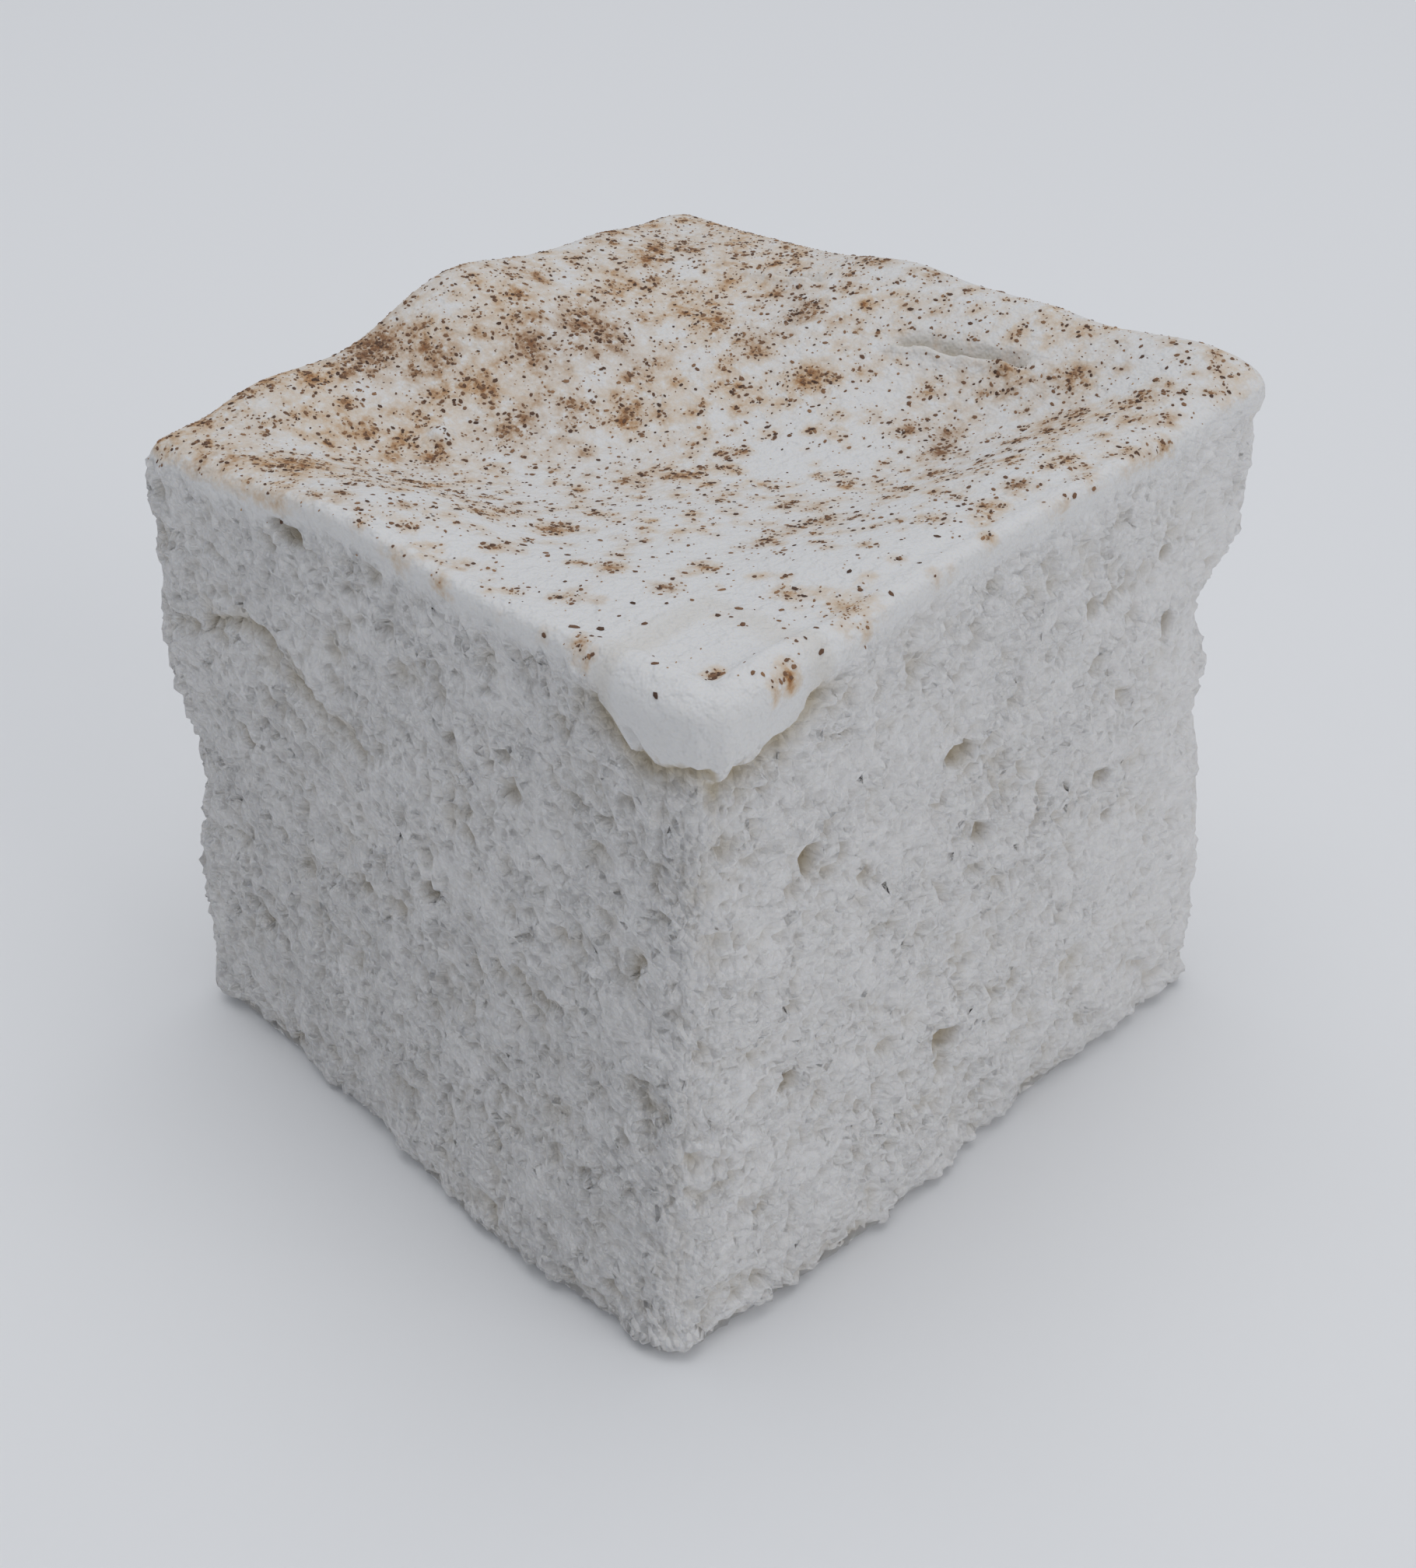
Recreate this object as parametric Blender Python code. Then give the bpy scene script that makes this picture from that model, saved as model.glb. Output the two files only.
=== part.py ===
"""One marshmallow, knife-cut from a poured slab: foam sides under a smooth, wavy top skin.

The solid is a cube's grid of points.  Each point is rounded onto a box with soft edges, then
moved by the features that a hand-cut sweet has: leaning corners, a dished top with humps on its
rim, a skin that droops over the front corner, scalloped upright edges and a bulging foot.
The base stays flat.  +X and -Y are the two sides that meet at the drooping front corner.
"""
import math

import bmesh
import bpy
from mathutils import Vector, noise

MM = 0.001

# Overall size
WIDTH = 45.0 * MM
DEPTH = 45.7 * MM
HEIGHT = 40.8 * MM

# Grid of the cube
GRID_CELLS = 26
EDGE_CROWDING = 0.75

# Rounding of the edges: across the sides, down from the top, up from the base
SIDE_ROUND = 1.6 * MM
SHOULDER_ROUND = 2.4 * MM
FOOT_ROUND = 0.9 * MM

# How far each corner leans from a true box: (side of X, side of Y, top or base) to an offset
CORNER_LEAN = {
    (-1, -1, 1): Vector((0.0, 0.1, -0.3)) * MM,
    (-1, 1, 1): Vector((-0.6, -0.4, 0.9)) * MM,
    (1, 1, 1): Vector((0.4, 0.9, 1.7)) * MM,
    (1, -1, 1): Vector((0.5, 0.8, 0.6)) * MM,
    (-1, -1, -1): Vector((-1.0, 0.5, 0.0)) * MM,
    (-1, 1, -1): Vector((-0.3, 0.2, 0.0)) * MM,
    (1, 1, -1): Vector((0.3, 0.0, 0.0)) * MM,
    (1, -1, -1): Vector((0.2, -2.6, 0.0)) * MM,
}

# The dished top: a basin across the diagonal and a lower shelf in front of it
BASIN_DEPTH = 3.7 * MM
BASIN_PLACE = -1.0 * MM
BASIN_SPREAD = 9.0 * MM
SHELF_DEPTH = 1.3 * MM
SHELF_PLACE = 12.0 * MM
SHELF_SPREAD = 7.0 * MM
CREST_DROP = 0.5 * MM
CREST_PLACE = 8.0 * MM
CREST_SPREAD = 1.6 * MM
DISH_REACH = 33.0 * MM
RIM_BAND = 11.0 * MM

# Humps along the rim: (side it follows, place along it, reach along it, reach inwards, height)
RIM_HUMPS = (
    ("-X", 1.0 * MM, 10.5 * MM, 9.0 * MM, 3.1 * MM),
    ("-X", 12.0 * MM, 8.0 * MM, 8.0 * MM, 1.3 * MM),
    ("-X", -13.0 * MM, 6.0 * MM, 6.0 * MM, 1.0 * MM),
    ("+Y", -1.5 * MM, 10.0 * MM, 8.0 * MM, 1.3 * MM),
    ("+Y", 8.5 * MM, 8.0 * MM, 8.0 * MM, 1.2 * MM),
    ("+Y", 17.5 * MM, 8.0 * MM, 7.0 * MM, 1.4 * MM),
    ("-Y", -6.0 * MM, 12.0 * MM, 6.0 * MM, 0.8 * MM),
)
SKIN_RIPPLE = 0.35 * MM
SKIN_RIPPLE_SIZE = 8.0 * MM

# The skin's lip over the front corner
LIP_X_START = 11.0 * MM
LIP_X_FULL = 20.0 * MM
LIP_Y_START = 9.0 * MM
LIP_Y_FULL = 19.0 * MM
LIP_THICKNESS = 1.2 * MM
LIP_DROP = 3.9 * MM
LIP_HEM = 0.9 * MM
LIP_UNDERCUT = 0.4 * MM

# The nub of skin at the far right corner
NUB_REACH = 5.0 * MM
NUB_THICKNESS = 1.3 * MM
NUB_DROP = 2.2 * MM

# Scoops out of the upright edges: (side of X, side of Y): (height, reach up and down, depth)
EDGE_SCOOPS = {
    (1, 1): ((22.0 * MM, 16.0 * MM, 0.9 * MM), (26.8 * MM, 4.4 * MM, 2.1 * MM),
             (20.0 * MM, 2.8 * MM, 0.9 * MM)),
    (-1, -1): ((18.0 * MM, 9.0 * MM, 0.9 * MM), (31.6 * MM, 2.2 * MM, 0.4 * MM)),
    (1, -1): ((31.0 * MM, 6.0 * MM, 0.5 * MM), (17.0 * MM, 8.0 * MM, 0.3 * MM)),
    (-1, 1): ((25.0 * MM, 9.0 * MM, 0.9 * MM), (11.0 * MM, 6.0 * MM, 0.6 * MM)),
}
SCOOP_BAND = 4.5 * MM

# The foot's bulge on each side: (place along the side, reach along it, depth)
FOOT_BULGES = {
    "-Y": (7.0 * MM, 15.0 * MM, 1.3 * MM),
    "+X": (-9.0 * MM, 13.0 * MM, 1.0 * MM),
    "+Y": (4.0 * MM, 18.0 * MM, 1.0 * MM),
    "-X": (2.0 * MM, 17.0 * MM, 0.8 * MM),
}
FOOT_BAND = 8.0 * MM

# Slow unevenness of the cut sides
CUT_WOBBLE = 0.45 * MM
CUT_WOBBLE_SIZE = 11.0 * MM

FOAM_COLOUR = (0.83, 0.81, 0.77, 1.0)
FOAM_ROUGHNESS = 0.8
HALF_X = WIDTH / 2
HALF_Y = DEPTH / 2
CORNER_POWER = 11


def ramp(value, start, end):
    """Rise smoothly from 0 at start to 1 at end."""
    t = min(max((value - start) / (end - start), 0.0), 1.0)
    return t * t * (3.0 - 2.0 * t)


def bump(value, centre, reach):
    """A round hump of height 1 at centre that ends at reach on both sides."""
    t = min(abs(value - centre) / reach, 1.0)
    return 0.5 + 0.5 * math.cos(math.pi * t)


def fall(distance, reach):
    """Fall off from 1 at no distance, to about a third at reach."""
    return math.exp(-(distance / reach) ** 2)


def crowd(t):
    """Move a grid line at t, from -1 to 1, towards the nearer end."""
    return (1.0 - EDGE_CROWDING) * t + EDGE_CROWDING * math.sin(t * math.pi / 2)


def rounded_box(grid_point):
    """Put a point of the cube from -1 to 1 on a box with rounded edges that stands on Z = 0."""
    size = Vector((HALF_X, HALF_Y, HEIGHT / 2))
    rounding_z = SHOULDER_ROUND if grid_point.z > 0 else FOOT_ROUND
    rounding = Vector((SIDE_ROUND, SIDE_ROUND, rounding_z))
    point = Vector(crowd(c) * s for c, s in zip(grid_point, size))
    core = Vector(min(max(c, r - s), s - r) for c, s, r in zip(point, size, rounding))
    outward = Vector((c - k) / r for c, k, r in zip(point, core, rounding))
    outward.normalize()
    point = core + Vector(o * r for o, r in zip(outward, rounding))
    point.z += HEIGHT / 2
    return point


def corner_lean(point):
    """Blend the corners' offsets over the whole block."""
    across = point.x / HALF_X
    along = point.y / HALF_Y
    up = 2.0 * point.z / HEIGHT - 1.0
    total = Vector()
    for (side_x, side_y, side_z), offset in CORNER_LEAN.items():
        share = (1 + side_x * across) * (1 + side_y * along) * (1 + side_z * up) / 8
        total += offset * share
    return total


def side_places(point):
    """For each side: how far inside it the point is, and its place along the side."""
    return {
        "-X": (HALF_X + point.x, point.y),
        "+X": (HALF_X - point.x, point.y),
        "-Y": (HALF_Y + point.y, point.x),
        "+Y": (HALF_Y - point.y, point.x),
    }


def dish(point):
    """Depth of the hollow in the top, which runs across the diagonal from the front corner."""
    to_front = (point.x - point.y) / math.sqrt(2)
    along = (point.x + point.y) / math.sqrt(2)
    basin = BASIN_DEPTH * fall(to_front - BASIN_PLACE, BASIN_SPREAD)
    shelf = SHELF_DEPTH * fall(to_front - SHELF_PLACE, SHELF_SPREAD)
    crest = CREST_DROP * ramp(CREST_PLACE - to_front, -CREST_SPREAD, CREST_SPREAD)
    crest *= fall(to_front - CREST_PLACE, BASIN_SPREAD)
    to_rim = min(inside for inside, _ in side_places(point).values())
    fade = max(1.0 - (along / DISH_REACH) ** 2, 0.0) * ramp(to_rim, 0.0, RIM_BAND)
    return (basin + shelf + crest) * fade


def top_swell(point):
    """Height of the top skin above the plane of the corners."""
    height = -dish(point)
    places = side_places(point)
    for side, place, reach, inwards, hump in RIM_HUMPS:
        inside, along = places[side]
        height += hump * bump(along, place, reach) * fall(inside, inwards)
    ripple_at = Vector((point.x, point.y, 0.0)) / SKIN_RIPPLE_SIZE
    return height + SKIN_RIPPLE * noise.noise(ripple_at)


def outward_direction(point):
    """The level direction out of the nearest side, slanting at an upright edge."""
    across = (point.x / HALF_X) ** CORNER_POWER
    along = (point.y / HALF_Y) ** CORNER_POWER
    direction = Vector((across, along, 0.0))
    return direction.normalized() if direction.length > 0 else direction


def is_side(point):
    """How much a point belongs to the sides, and not to the inner part of the top or base."""
    reach = max(abs(point.x) / HALF_X, abs(point.y) / HALF_Y)
    return ramp(reach, 1.0 - 2.0 * SIDE_ROUND / HALF_X, 1.0)


def lip_push(point):
    """How far the skin's lip stands out at the front corner."""
    below_top = HEIGHT - point.z
    corner = ramp(point.x, LIP_X_START, LIP_X_FULL) * ramp(-point.y, LIP_Y_START, LIP_Y_FULL)
    lip = ramp(below_top, 0.0, SHOULDER_ROUND) * (1 - ramp(below_top, LIP_DROP, LIP_DROP + LIP_HEM))
    undercut = bump(below_top, LIP_DROP + 2 * LIP_HEM, 2 * LIP_HEM)
    return corner * (LIP_THICKNESS * lip - LIP_UNDERCUT * undercut)


def nub_push(point):
    """How far the skin stands out at the far right corner."""
    to_corner = math.hypot(HALF_X - point.x, HALF_Y - point.y)
    return NUB_THICKNESS * fall(to_corner, NUB_REACH) * bump(HEIGHT - point.z, 0.0, NUB_DROP)


def scoop_pull(point):
    """How far the upright edges are scooped in at this point's height."""
    pull = 0.0
    for (side_x, side_y), scoops in EDGE_SCOOPS.items():
        to_edge = abs(side_x * HALF_X - point.x) + abs(side_y * HALF_Y - point.y)
        depth = sum(deep * bump(point.z, height, reach) for height, reach, deep in scoops)
        pull += depth * fall(to_edge, SCOOP_BAND)
    return pull


def foot_push(point):
    """How far the foot of the sides bulges out."""
    push = 0.0
    places = side_places(point)
    for side, (place, reach, depth) in FOOT_BULGES.items():
        inside, along = places[side]
        push += depth * bump(along, place, reach) * fall(inside, SIDE_ROUND)
    return push * fall(point.z, FOOT_BAND)


def wobble_push(point):
    """Slow unevenness that the knife left in the sides."""
    return CUT_WOBBLE * noise.noise(point / CUT_WOBBLE_SIZE) * ramp(point.z, 0.0, FOOT_BAND)


def shape_point(grid_point):
    """Move a point of the cube's grid to its place on the marshmallow."""
    box_point = rounded_box(grid_point)
    push = lip_push(box_point) + nub_push(box_point) - scoop_pull(box_point)
    push += foot_push(box_point) + wobble_push(box_point)
    shaped = box_point + corner_lean(box_point)
    shaped += outward_direction(box_point) * push * is_side(box_point)
    shaped.z += top_swell(box_point) * box_point.z / HEIGHT
    return shaped


def stand_on_origin(points):
    """Move the points so that the middle of their box, at its base, is the origin."""
    middle_x = (min(p.x for p in points) + max(p.x for p in points)) / 2
    middle_y = (min(p.y for p in points) + max(p.y for p in points)) / 2
    base = min(p.z for p in points)
    return [p - Vector((middle_x, middle_y, base)) for p in points]


def marshmallow_mesh():
    """The grid of a cube, shaped point by point."""
    work = bmesh.new()
    bmesh.ops.create_cube(work, size=2.0)
    bmesh.ops.subdivide_edges(work, edges=work.edges[:], cuts=GRID_CELLS - 1, use_grid_fill=True)
    shaped = stand_on_origin([shape_point(vert.co) for vert in work.verts])
    for vert, place in zip(work.verts, shaped):
        vert.co = place
    bmesh.ops.recalc_face_normals(work, faces=work.faces[:])
    mesh = bpy.data.meshes.new("marshmallow")
    work.to_mesh(mesh)
    work.free()
    mesh.shade_smooth()
    return mesh


def foam_material():
    """Matt white sugar foam."""
    material = bpy.data.materials.new("marshmallow")
    material.use_nodes = True
    shader = material.node_tree.nodes["Principled BSDF"]
    shader.inputs["Base Color"].default_value = FOAM_COLOUR
    shader.inputs["Roughness"].default_value = FOAM_ROUGHNESS
    shader.inputs["Metallic"].default_value = 0.0
    return material


def main():
    for old in list(bpy.data.objects):
        bpy.data.objects.remove(old, do_unlink=True)
    mesh = marshmallow_mesh()
    mesh.materials.append(foam_material())
    bpy.context.scene.collection.objects.link(bpy.data.objects.new("marshmallow", mesh))


main()
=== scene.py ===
# %% [markdown]
# # A marshmallow cube with a cinnamon-dusted skin
#
# A cook whips hot sugar syrup and gelatine into foam, pours it into a tray and dusts the top with
# cinnamon while it sets. The slab is then cut into cubes with a wet knife. So the sweet has two
# kinds of surface. On top is the skin: smooth, matt and wavy, where the foam dried in the air.
# On the four sides is the open foam: a fine, torn crumb with burst bubbles, where the knife went.
#
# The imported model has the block's true size and form. This script keeps that form and adds what
# the eye sees on it: the foam's crumb, the bubbles, the torn hem of the skin and the cinnamon.

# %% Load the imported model
import math

import bpy
import numpy as np
from mathutils import Matrix, Vector, noise
from mathutils.bvhtree import BVHTree


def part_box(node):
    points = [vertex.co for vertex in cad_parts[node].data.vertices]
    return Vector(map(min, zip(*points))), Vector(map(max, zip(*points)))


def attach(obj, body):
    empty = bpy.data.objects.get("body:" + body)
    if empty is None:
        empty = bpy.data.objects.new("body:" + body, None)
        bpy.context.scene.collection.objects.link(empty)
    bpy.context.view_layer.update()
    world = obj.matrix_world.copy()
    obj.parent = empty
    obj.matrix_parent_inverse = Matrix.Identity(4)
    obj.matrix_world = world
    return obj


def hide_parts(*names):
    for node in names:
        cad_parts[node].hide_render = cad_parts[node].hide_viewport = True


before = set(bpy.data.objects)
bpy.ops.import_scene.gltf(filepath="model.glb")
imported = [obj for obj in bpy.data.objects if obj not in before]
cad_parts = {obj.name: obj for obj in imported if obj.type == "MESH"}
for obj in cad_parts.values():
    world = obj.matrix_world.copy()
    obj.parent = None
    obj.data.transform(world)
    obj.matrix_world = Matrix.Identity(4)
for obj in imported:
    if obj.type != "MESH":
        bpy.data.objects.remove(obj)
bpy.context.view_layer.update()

MM = 0.001
block_low, block_high = (np.array(corner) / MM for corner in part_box("marshmallow"))
print("block in mm:", (block_high - block_low).round(1))

# %% [markdown]
# ## The camera
#
# The sweet is looked at from above one of its upright edges, from about three cube widths away.
# Being that close gives the strong perspective: the near corner is large and the sides narrow
# towards the base. A longer lens from the same place only crops the view, it doesn't flatten it.

# %% Place the camera
CAMERA_PLACE = Vector((90.7, -89.8, 101.8)) * MM
AIM_POINT = Vector((2.1, -0.5, 17.6)) * MM
CAMERA_ROLL = math.radians(0.9)
LENS_MM = 57.0

bpy.ops.object.camera_add(location=CAMERA_PLACE)
camera = bpy.context.object
facing = (AIM_POINT - CAMERA_PLACE).to_track_quat("-Z", "Y").to_matrix()
camera.rotation_euler = (facing @ Matrix.Rotation(-CAMERA_ROLL, 3, "Z")).to_euler()
camera.data.lens = LENS_MM
bpy.context.scene.camera = camera
bpy.context.scene.view_settings.view_transform = "Standard"
print("camera to the middle of the block:", round((CAMERA_PLACE - AIM_POINT).length / MM), "mm")

# %% [markdown]
# ## The block as clay
#
# The foam is sculpted on a copy of the model's own mesh, so it can't drift from the real size.
# That mesh is loose triangles, so its doubles are merged and pairs of triangles become quads.
# Subdivision rounds off the facets, and a voxel remesh then lays one even net over the whole
# block, fine enough to carry a crumb about a millimetre across.

# %% Copy the block and round off its facets
FIRST_VOXEL = 0.30


def apply_modifier(piece, kind, **settings):
    """Add a modifier, set it up and apply it."""
    bpy.ops.object.select_all(action="DESELECT")
    piece.select_set(True)
    bpy.context.view_layer.objects.active = piece
    modifier = piece.modifiers.new(kind.title(), kind)
    for name, value in settings.items():
        setattr(modifier, name, value)
    bpy.ops.object.modifier_apply(modifier=modifier.name)
    print(f"{kind.lower()}: {len(piece.data.vertices)} points, {len(piece.data.polygons)} faces")


marshmallow = bpy.data.objects.new("marshmallow_block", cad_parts["marshmallow"].data.copy())
bpy.context.scene.collection.objects.link(marshmallow)
bpy.ops.object.select_all(action="DESELECT")
marshmallow.select_set(True)
bpy.context.view_layer.objects.active = marshmallow
bpy.ops.object.mode_set(mode="EDIT")
bpy.ops.mesh.select_all(action="SELECT")
bpy.ops.mesh.remove_doubles(threshold=0.001 * MM)
bpy.ops.mesh.tris_convert_to_quads()
bpy.ops.object.mode_set(mode="OBJECT")
marshmallow.data.materials.clear()
apply_modifier(marshmallow, "SUBSURF", levels=2, render_levels=2)
smooth_tree = BVHTree.FromObject(marshmallow, bpy.context.evaluated_depsgraph_get())
apply_modifier(marshmallow, "REMESH", mode="VOXEL", voxel_size=FIRST_VOXEL * MM)
apply_modifier(marshmallow, "SMOOTH", factor=0.5, iterations=25)

# %% [markdown]
# ## Tools for sculpting in code
#
# Sculpting by code means moving points by rules that speak of the sweet: how far below the rim a
# point is, how far round the side from the front edge, which way is outwards. The points are
# read as one array in millimetres, moved together, and written back.

# %% Read and write points, and three soft curves


def read_points(piece):
    """All the points of a piece, in mm."""
    flat = np.empty(len(piece.data.vertices) * 3, np.float32)
    piece.data.vertices.foreach_get("co", flat)
    return flat.reshape(-1, 3).astype(float) / MM


def write_points(piece, points):
    """Put the points back on the piece, and none below the table."""
    points[:, 2] = np.maximum(points[:, 2], 0.0)
    piece.data.vertices.foreach_set("co", (points * MM).astype(np.float32).ravel())
    piece.data.update()


def ramp(value, start, end):
    """Rise smoothly from 0 at start to 1 at end."""
    t = np.clip((value - start) / (end - start), 0.0, 1.0)
    return t * t * (3.0 - 2.0 * t)


def fall(distance, reach):
    """Fall off from 1 at no distance, to about a third at reach."""
    return np.exp(-(distance / reach) ** 2)


def hills(places, size, seed):
    """Smooth noise from -1 to 1 whose hills are about this many mm across."""
    shifted = places / size + seed * 17.3
    return np.array([noise.noise(place) for place in shifted.tolist()])


# %% Find the upright edges
POST_BANDS = ((8.0, 11.0), (28.0, 31.0))        # heights between which an edge is measured
RING = ((-1, 1), (-1, -1), (1, -1), (1, 1))     # back left, near left, front, far right


def corner_posts(points):
    """The four upright edges as straight lines: where each is at height 0, and its slope."""
    posts = []
    for side_x, side_y in RING:
        ends = []
        for low, high in POST_BANDS:
            band = points[(points[:, 2] > low) & (points[:, 2] < high)]
            ends.append(band[(band[:, 0] * side_x + band[:, 1] * side_y).argmax()])
        slope = (ends[1] - ends[0]) / (ends[1][2] - ends[0][2])
        posts.append((ends[0] - slope * ends[0][2], slope))
    return posts


points = read_points(marshmallow)
posts = corner_posts(points)
print("upright edges at the base:", [tuple(base[:2].round(1)) for base, slope in posts])

# %% Measure along the sides from the front edge, and from the back one
TURN_START, TURN_END = 1.0, 6.0         # mm from an edge, between which the turn is evened out
BACK_CORNER = 15.0                      # mm within which a place belongs to the back left edge


def around(points, outset=0.0):
    """Distance along the sides from the front edge: minus to the left, plus to the right."""
    height = points[:, 2:3]
    corners = [(base + slope * height)[:, :2] + outset * np.array(ring)
               for (base, slope), ring in zip(posts, RING)]
    start = -sum(np.linalg.norm(corners[i + 1] - corners[i], axis=1) for i in (0, 1))
    inside = np.full(len(points), np.inf)
    along = np.zeros(len(points))
    for i in range(4):
        side = corners[(i + 1) % 4] - corners[i]
        length = np.linalg.norm(side, axis=1)
        side = side / length[:, None]
        offset = points[:, :2] - corners[i]
        depth = side[:, 0] * offset[:, 1] - side[:, 1] * offset[:, 0]
        nearer = depth < inside
        place = (side * offset).sum(1)
        place += depth * (ramp(place, length - TURN_END, length - TURN_START) - 1.0
                          + ramp(place, TURN_START, TURN_END))
        along = np.where(nearer, start + place, along)
        inside = np.minimum(inside, depth)
        start = start + length
    return along


def from_back_edge(points):
    """Distance along the sides from the back left edge, where the unrolled sides start and end."""
    base, slope = posts[0]
    gap = (points - base - slope * points[:, 2:3])[:, :2]
    return np.where(gap[:, 1] - gap[:, 0] > -BACK_CORNER, -gap.sum(1), np.inf)


along = around(points)
print("sides unrolled from", round(along.min()), "to", round(along.max()), "mm")

# %% Measure heights and depths against the smooth block
GRID_STEP = 0.8
RIM_INSET = 3.0

drops_x = np.arange(block_low[0], block_high[0] + GRID_STEP, GRID_STEP)
drops_y = np.arange(block_low[1], block_high[1] + GRID_STEP, GRID_STEP)
grid = np.full((len(drops_x), len(drops_y)), np.nan)
for i, x in enumerate(drops_x):
    for j, y in enumerate(drops_y):
        spot = smooth_tree.ray_cast(Vector((x, y, block_high[2] + 5.0)) * MM, Vector((0, 0, -1)))[0]
        grid[i, j] = spot.z / MM if spot else np.nan
grid = np.where(np.isnan(grid), np.nanmin(grid), grid)
print("skin is up to", grid.max().round(1), "mm high")


def skin_height(x, y):
    """Height of the skin over each place, read off a grid of drops onto the smooth block."""
    column = np.clip((x - block_low[0]) / GRID_STEP, 0, grid.shape[0] - 1.001)
    row = np.clip((y - block_low[1]) / GRID_STEP, 0, grid.shape[1] - 1.001)
    i, j = column.astype(int), row.astype(int)
    u, v = column - i, row - j
    return ((1 - u) * (1 - v) * grid[i, j] + u * (1 - v) * grid[i + 1, j]
            + (1 - u) * v * grid[i, j + 1] + u * v * grid[i + 1, j + 1])


def below_rim(points):
    """How far each point is below the skin just inside the rim: 0 all over the top."""
    x = np.clip(points[:, 0], posts[1][0][0] + RIM_INSET, posts[2][0][0] - RIM_INSET)
    y = np.clip(points[:, 1], posts[1][0][1] + RIM_INSET, posts[0][0][1] - RIM_INSET)
    return skin_height(x, y) - points[:, 2]


def smooth_surface(points):
    """The outward direction of the smooth block under each point, and the depth below it."""
    found = [smooth_tree.find_nearest(point) for point in (points * MM).tolist()]
    outward = np.array([hit[1] for hit in found])
    nearest = np.array([hit[0] for hit in found]) / MM
    return outward, ((nearest - points) * outward).sum(1)


def sideways(outward):
    """1 where the surface faces sideways, 0 on the top and the base."""
    return ramp(np.hypot(outward[:, 0], outward[:, 1]), 0.3, 0.8)


# %% [markdown]
# ## The torn hem of the skin
#
# At the front corner the skin sagged over the edge while the foam was still soft. Its hem is
# ragged, hangs lowest in a small tip just past the corner, and stands off the foam, with a warm
# shadow in the gap. It could be a sheet of its own, but on the sweet it is one with the foam, so
# it is pushed out of the same clay. A line of drops along the edge says how far the hem hangs.
# Above that line the rounded rim is filled up until it is nearly upright, and the hem is tucked
# in a little towards its lower edge. Below the line the foam is pulled back under the skin.
# Away from the corner the rim is only made a little sharper.

# %% Describe the hem
HEM_OUTSET = 1.8        # how far the skin's own corner stands out from the foam's
HEM_PLACE = (-9.0, -7.4, -6.4, -5.6, -4.7, -3.7, -2.1, 0.5, 1.3, 2.1, 3.6, 4.5, 6.4, 7.6, 9.0)
HEM_DROP = (1.8, 2.2, 3.4, 4.4, 4.0, 4.0, 3.6, 3.3, 5.5, 3.6, 3.9, 3.2, 3.2, 2.3, 1.6)
HEM_REACH = (0.0, 0.4, 1.0, 1.0, 1.0, 1.0, 1.0, 1.0, 1.0, 1.0, 1.0, 1.0, 1.0, 0.7, 0.0)
HEM_RAGGEDNESS = 0.34


def hem_drop(along):
    """How far below the rim the skin's hem hangs at each place along the edge."""
    places = np.stack([along, np.zeros_like(along), np.zeros_like(along)], axis=1)
    ragged = hills(places, 1.1, 3) + 0.9 * hills(places, 0.5, 4)
    return np.interp(along, HEM_PLACE, HEM_DROP) + HEM_RAGGEDNESS * ragged


def along_hem(points):
    """Place along the skin's own edge, and how much of the hem is there, from 0 to 1."""
    at_edge = around(points, HEM_OUTSET)
    return at_edge, np.interp(at_edge, HEM_PLACE, HEM_REACH, left=0.0, right=0.0)


points = read_points(marshmallow)
at_edge, hem_reach = along_hem(points)
hem_line = hem_drop(at_edge)
print("hem hangs down to", round(float(hem_line[hem_reach > 0.5].max()), 1), "mm below the rim")

# %% Hang the hem over the front corner
HEM_SHARPNESS = 0.45    # height over which the hem ends
HEM_TUCK = 0.4          # how far its lower edge turns in
HEM_UNDERCUT = 1.05     # how far the foam under it is pulled back
SIDE_LIP = 1.25         # how far the plain block's lip stands out, which the foam gives back
LIP_X = (11.0, 20.0)    # where that lip starts and is whole
LIP_Y = (9.8, 19.8)

outward, depth = smooth_surface(points)
along, below = around(points), below_rim(points)
level = outward * np.array([1.0, 1.0, 0.0])
level /= np.linalg.norm(level, axis=1)[:, None] + 1e-6
upright = ramp(1.0 - np.abs(outward[:, 2]), 0.1, 0.6)
under_hem = below - hem_line
lip = ramp(points[:, 0], *LIP_X) * ramp(-points[:, 1], *LIP_Y)
lip_profile = ramp(below, 0.0, 2.4) * (1.0 - ramp(below, 3.9, 4.8))
hidden = ramp(under_hem, 0.0, HEM_SHARPNESS)
push = -HEM_TUCK * hem_reach * ramp(under_hem, -2.2, 0.0) * (1.0 - hidden)
push -= hidden * lip * lip_profile * SIDE_LIP
push -= hidden * hem_reach * HEM_UNDERCUT * fall(under_hem, 1.5)
points += level * (push * upright)[:, None]
print("foam pulled back by up to", round(-push.min(), 2), "mm under the hem")

# %% Fill up the rounded rim
RIM_RAISE = 1.25        # how far the rim rises at the front corner
RIM_HEIGHT = 32.0       # the rim lies above this everywhere
RIM_PLACE = (0.0, 4.0, 10.0, 30.0, 38.0)      # distance from the front edge, on either side
RIM_SHARPNESS = (0.2, 0.4, 0.8, 0.6, 0.0)

turn = 2.0 * np.clip(outward[:, 2], 0.0, 1.0) * np.hypot(outward[:, 0], outward[:, 1])
turn = turn ** 2 * (points[:, 2] > RIM_HEIGHT)
points += outward * (turn * np.interp(np.abs(along), RIM_PLACE, RIM_SHARPNESS))[:, None]
points[:, 2] += RIM_RAISE * turn * (1.0 - ramp(np.abs(along), 3.0, 9.0))
write_points(marshmallow, points)
print("rim raised over", int((turn > 0.5).sum()), "points")

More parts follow.
